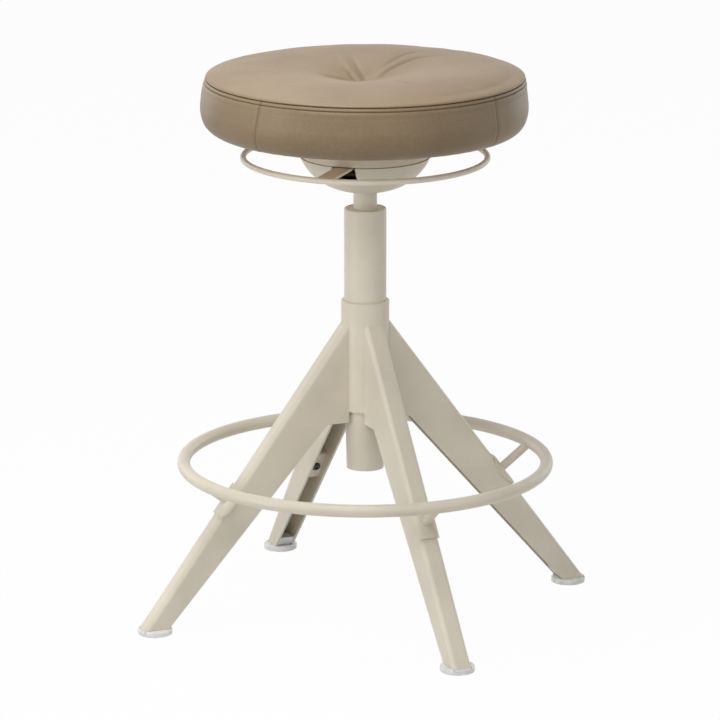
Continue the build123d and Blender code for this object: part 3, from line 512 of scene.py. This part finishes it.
def roughCushion(look):
    mesh = seatLine(look)
    bmesh.ops.spin(mesh, geom=list(mesh.verts) + list(mesh.edges), cent=(0, 0, 0), axis=(0, 0, 1),
                   angle=math.tau, steps=look["columns"], use_merge=True)
    bmesh.ops.remove_doubles(mesh, verts=list(mesh.verts), dist=0.02 * mm)
    bmesh.ops.recalc_face_normals(mesh, faces=list(mesh.faces))
    half = 180 / len(look["seams"])
    for vert in mesh.verts:  # crowd the columns to the upright seams
        radius = math.hypot(vert.co.x, vert.co.y)
        if radius > 0.01 * mm:
            azimuth = math.degrees(math.atan2(vert.co.y, vert.co.x))
            off = ((azimuth - look["seams"][0][0] + half) % (2 * half) - half) / half
            crowded = half * (off * (1 - look["crowd"]) + look["crowd"] * off ** 3)
            turned = math.radians(azimuth - off * half + crowded)
            vert.co.x = radius * math.cos(turned)
            vert.co.y = radius * math.sin(turned)
    for face in mesh.faces:
        face.smooth = True
    return newPiece("cushion", mesh, seatLeather)


def sewn(point, look):  # places held by thread, staples or the board
    radius = math.hypot(point.x, point.y) / mm
    height = point.z / mm
    hold = look["swell"]
    low, high = hold["threadHeld"]
    atBoard = height < hold["hemHeld"] or (radius < look["bandInner"] and height < look["topFloor"])
    atThread = radius > look["seamOuter"] and low < height < high
    return radius < hold["tuftHeld"] or atBoard or atThread


def swell(piece, look):
    blow = look["swell"]
    held = piece.vertex_groups.new(name="sewn")
    held.add([vert.index for vert in piece.data.vertices if sewn(vert.co, look)], 1.0, "REPLACE")
    cloth = piece.modifiers.new("swell", "CLOTH")
    for name, value in blow["cloth"].items():
        setattr(cloth.settings, name, value)
    cloth.settings.effector_weights.gravity = 0
    cloth.collision_settings.use_collision = False
    for step in range(blow["steps"]):
        scene.frame_set(step + 1)
    blown = piece.evaluated_get(bpy.context.evaluated_depsgraph_get()).data
    moved = [vert.co.copy() for vert in blown.vertices]
    piece.modifiers.remove(cloth)
    piece.vertex_groups.remove(held)
    scene.frame_set(1)
    farthest = 0
    for vert, target in zip(piece.data.vertices, moved):
        shift = target - vert.co
        farthest = max(farthest, shift.length)
        if shift.length > blow["most"]:
            shift *= blow["most"] / shift.length
        vert.co += shift
    print("cushion swelled, farthest", round(farthest / mm, 2), "mm before the cap")
    calm = bmesh.new()
    calm.from_mesh(piece.data)
    top = [vert for vert in calm.verts if vert.co.z > blow["calmAbove"]]
    for step in range(blow["calm"]):
        bmesh.ops.smooth_vert(calm, verts=top, factor=0.5, use_axis_x=True, use_axis_y=True, use_axis_z=True)
    calm.to_mesh(piece.data)
    calm.free()


def offPath(point, path):  # distance from a line of points, and how far along it
    best = (1e9, 0)
    for index in range(len(path) - 1):
        start = path[index]
        run = path[index + 1] - start
        along = max(0, min(1, (point - start).dot(run) / run.length_squared))
        gap = (point - start - run * along).length
        best = min(best, (gap, (index + along) / (len(path) - 1)))
    return best


def foldedTop(point, flat, folds, look):  # lift of the top, and the painted shade in its folds
    lift = 0.0
    shade = 0.0
    for fold, path in folds:
        gap, along = offPath(flat, path)
        if gap < look["foldReach"] * fold["wide"]:
            fade = min(1, (1 - along) * 2.2) * min(1, 0.55 + along * 3)  # fades over the far half
            part = math.exp(-(gap / fold["wide"]) ** 2) * fade
            lift += fold["deep"] * part
            # narrow creases get painted shade
            if fold["deep"] < 0 and fold["wide"] < look["creaseWide"]:
                shade = max(shade, look["foldShade"] * part ** 3)
    easeTuft, easeRim = look["topEase"]
    lift += look["topLoose"] * noise.noise(point * 26) * min(1, flat.length / easeTuft)
    return lift * min(1, (look["topRim"] - flat.length) / easeRim), shade


def drawnBand(point, spot, flat, azimuth, look):  # push of the band, and the painted shade in its upright seams
    foot, top = look["bandHeights"]
    arc = math.radians(seamOff(azimuth, (top - spot.z) / look["leanOver"], look)) * flat.length
    dip = math.exp(-(arc / look["seamWide"]) ** 2)
    puffHigh, puffAt, puffWide = look["seamPuff"]
    push = puffHigh * math.exp(-((abs(arc) - puffAt) / puffWide) ** 2) - look["seamDeep"] * dip
    easeFoot, easeTop = look["bandEase"]
    calm = min(1, (top - spot.z) / easeTop, (spot.z - foot) / easeFoot)
    pull = noise.noise(Vector((spot.x * 0.013, spot.y * 0.013, spot.z * 0.17)))  # level lines of tension
    loose = look["bandLoose"] * noise.noise(point * 22) + look["bandTaut"] * pull
    lean = 1 + math.cos(math.radians(azimuth - look["fullSide"]))
    push += (loose + look["fuller"] * lean) * calm
    # painted shade in the seam, stronger towards the top of the band
    darkFoot, darkMore = look["seamDark"]
    return push, (darkFoot + darkMore * (spot.z - foot) / (top - foot)) * dip ** 2


def gatheredHem(point, flat, azimuth, look):  # drop of the hem's pleats, and the painted shade between them
    inner, outer = look["hemRadii"]
    wave = math.cos(math.radians(azimuth) * look["pleats"] + 3 * noise.noise(point * 30))
    easeIn, easeOut = look["pleatEase"]
    ease = min(1, (flat.length - inner) / easeIn, (outer - flat.length) / easeOut)
    return look["pleatDrop"] * max(0, wave) ** 3 * ease, look["pleatShade"] * max(0, -wave) ** 4


def sculpt(piece, look):
    # attribute of painted shade for seams, folds, pleats and the topstitch line, read by the leather
    drawn = piece.data.attributes.new("paintedCreaseShade", "FLOAT", "POINT")
    folds = []
    for fold in look["folds"]:
        turned = [(radius, math.radians(azimuth)) for radius, azimuth in fold["path"]]
        folds.append((fold, [Vector((r * math.cos(a), r * math.sin(a))) for r, a in turned]))
    foot, top = look["bandHeights"]
    inner, outer = look["hemRadii"]
    for vert in piece.data.vertices:
        spot = vert.co / mm
        flat = Vector((spot.x, spot.y))
        radius = flat.length
        azimuth = math.degrees(math.atan2(spot.y, spot.x))
        lift = 0.0
        push = 0.0
        shade = 0.0
        if spot.z > look["topFloor"] and radius < look["topRim"]:
            lift, shade = foldedTop(vert.co, flat, folds, look)
        if foot + 0.5 < spot.z < top and radius > look["bandInner"]:
            push, dark = drawnBand(vert.co, spot, flat, azimuth, look)
            shade = max(shade, dark)
        if spot.z < foot + 2.5 and inner + 0.5 < radius < outer:
            drop, dark = gatheredHem(vert.co, flat, azimuth, look)
            lift -= drop
            shade = max(shade, dark)
        # painted shade along the top seam and under the topstitch
        for low, high, dark in look["seamShade"]:
            if radius > look["seamOuter"] and low < spot.z < high:
                shade = max(shade, dark)
        # the painted shade, stored for the leather's colour
        drawn.data[vert.index].value = shade
        vert.co.z += lift * mm
        if radius > 1:
            vert.co.x += push * mm * flat.x / radius
            vert.co.y += push * mm * flat.y / radius
    piece.data.update()
    finer = piece.modifiers.new("finer", "SUBSURF")
    finer.levels = 1
    finer.render_levels = 1
    finer.use_limit_surface = False  # quicker round the poles


cushion = roughCushion(cushionLook)
swell(cushion, cushionLook)
sculpt(cushion, cushionLook)
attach(cushion, "seat")
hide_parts("seat_foam", "seat_top_panel", *["seat_side_panel_%d" % (turn + 1) for turn in range(4)])
print("cushion made:", len(cushion.data.vertices), "points before its last subdivision")

# Topstitch under the seam, one bead a stitch
stitchLook = {"count": 300, "radius": 188.1, "height": 644.1, "long": 3.1, "thick": 0.42, "slant": 6}


def stitchRow(look):
    mesh = bmesh.new()
    stretch = Matrix.Diagonal((look["thick"] * mm, look["long"] / 2 * mm, look["thick"] * mm, 1))
    bead = Matrix.Rotation(math.radians(look["slant"]), 4, "X") @ stretch
    out = Matrix.Translation((look["radius"] * mm, 0, look["height"] * mm))
    for stitch in range(look["count"]):
        turn = Matrix.Rotation(math.tau * (stitch + 0.5) / look["count"], 4, "Z")
        bmesh.ops.create_uvsphere(mesh, u_segments=6, v_segments=4, radius=1, matrix=turn @ out @ bead)
    for face in mesh.faces:
        face.smooth = True
    return newPiece("topstitch", mesh, seatThread)


topstitch = stitchRow(stitchLook)
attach(topstitch, "seat")
print("topstitch sewn:", stitchLook["count"], "stitches")

low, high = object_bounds()
boxes = [[round(side, 4) for side in box] for box in (high - low, cadHigh - cadLow)]
print("box", boxes[0], "against the solids'", boxes[1])
